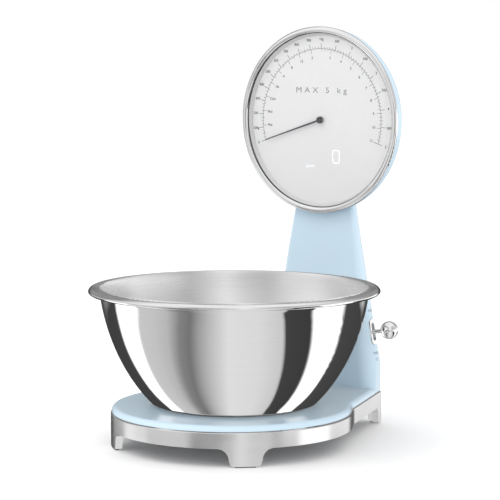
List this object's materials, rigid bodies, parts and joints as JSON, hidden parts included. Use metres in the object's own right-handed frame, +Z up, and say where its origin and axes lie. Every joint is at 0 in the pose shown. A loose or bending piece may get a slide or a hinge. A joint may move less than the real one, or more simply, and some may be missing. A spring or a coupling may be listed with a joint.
{
  "type": "kitchen scale",
  "caption": "Retro kitchen scale: round dial head with pointer and digital readout on a pedestal, side lever, steel bowl on the platform, polished base with feet.",
  "frame": {"origin": "centre of the bounding box's base: on the table, under the middle of the scale", "axes": "+Z up, -Y the front with the dial's face, +X the side with the lever"},
  "size_m": [0.26, 0.292, 0.3715],
  "materials": {
    "polished_metal": "polished die-cast metal",
    "stainless": "polished stainless steel",
    "blue_paint": "pale blue gloss",
    "chrome_plate": "bright chrome",
    "rubber_grey": "matt",
    "dark_plastic": "fine texture",
    "base_plastic": "fine texture",
    "dial_print": "printed light grey",
    "ring_grey": "satin light grey",
    "clear": "clear",
    "pointer_grey": "satin dark grey",
    "steel": "plain steel",
    "aluminium": "machined",
    "brass": "turned",
    "circuit_board": "solder mask",
    "cell_wrap": "plain wrap",
    "white_plastic": "moulded",
    "cable_black": "flexible",
    "diffuser": "milky film"
  },
  "bodies": {
    "base": {"plinth": "polished_metal", "foot_pads": "rubber_grey", "bottom_cover": "base_plastic", "bottom_screws": "steel", "batteries": "cell_wrap", "battery_contacts": "steel", "load_cell_foot": "steel", "load_cell": "aluminium", "load_cell_gauges": "dark_plastic", "load_cell_screws": "steel", "front_shell": "blue_paint", "column_rear_cover": "blue_paint", "head_rear_cover": "blue_paint", "rear_screws": "steel", "bezel": "chrome_plate", "dial_glass": "clear", "glass_gasket": "rubber_grey", "dial_ring": "ring_grey", "dial_face": "dial_print", "dial_carrier": "white_plastic", "dial_screws": "steel", "main_board": "circuit_board", "board_chips": "dark_plastic", "board_screws": "steel", "display_module": "dark_plastic", "display_diffuser": "diffuser", "pointer_bush": "brass", "motor_case": "dark_plastic", "lever_pin": "steel", "lever_bracket": "steel", "upper_spring": "steel", "lower_spring": "steel", "switch_body": "dark_plastic", "lever_escutcheon": "chrome_plate", "cell_lead": "cable_black", "battery_lead": "cable_black"},
    "platform": {"platform_carrier": "aluminium", "carrier_screws": "steel", "weighing_platform": "base_plastic", "grip_ring": "rubber_grey"},
    "bowl": {"bowl": "stainless"},
    "pointer": {"pointer": "pointer_grey", "pointer_cap": "pointer_grey", "output_wheel": "white_plastic"},
    "rotor": {"motor_rotor": "steel"},
    "lever": {"lever_ball": "chrome_plate", "lever_stem": "chrome_plate", "lever_rocker": "white_plastic"},
    "switch": {"switch_slider": "white_plastic"},
    "battery_door": {"battery_door": "base_plastic"}
  },
  "joints": [
    {"name": "platform_travel", "type": "slide", "parent": "base", "child": "platform", "axis": [0, 0, 1], "range_m": [-0.0005, 0], "stiffness_N_per_m": 60000, "springref_m": 0.0004, "deforming": ["load_cell"]},
    {"name": "bowl_lift", "type": "slide", "parent": "platform", "child": "bowl", "axis": [0, -0.5, 0.866], "range_m": [0, 0.3]},
    {"name": "pointer_turn", "type": "hinge", "parent": "base", "child": "pointer", "pos_m": [0, 0.12, 0.2845], "axis": [0, 1, 0], "range_deg": [0, 216]},
    {"name": "rotor_turn", "type": "hinge", "parent": "base", "child": "rotor", "pos_m": [-0.00905, 0.137, 0.2845], "axis": [0, 1, 0], "range_deg": [-1400, 0]},
    {"name": "lever_tilt", "type": "hinge", "parent": "base", "child": "lever", "pos_m": [0.0381, 0.1315, 0.08512], "axis": [0, 1, 0], "range_deg": [-12, 12], "stiffness_Nm_per_rad": 0.12, "deforming": ["upper_spring", "lower_spring"]},
    {"name": "switch_slide", "type": "slide", "parent": "base", "child": "switch", "axis": [0, 0, 1], "range_m": [-0.0026, 0.0026]},
    {"name": "battery_door_slide", "type": "slide", "parent": "base", "child": "battery_door", "axis": [0, -1, 0], "range_m": [0, 0.007]}
  ],
  "couplings": [
    {"joint": "rotor_turn", "follows": "pointer_turn", "ratio": -6.3333},
    {"joint": "switch_slide", "follows": "lever_tilt", "m_per_rad": 0.012}
  ]
}
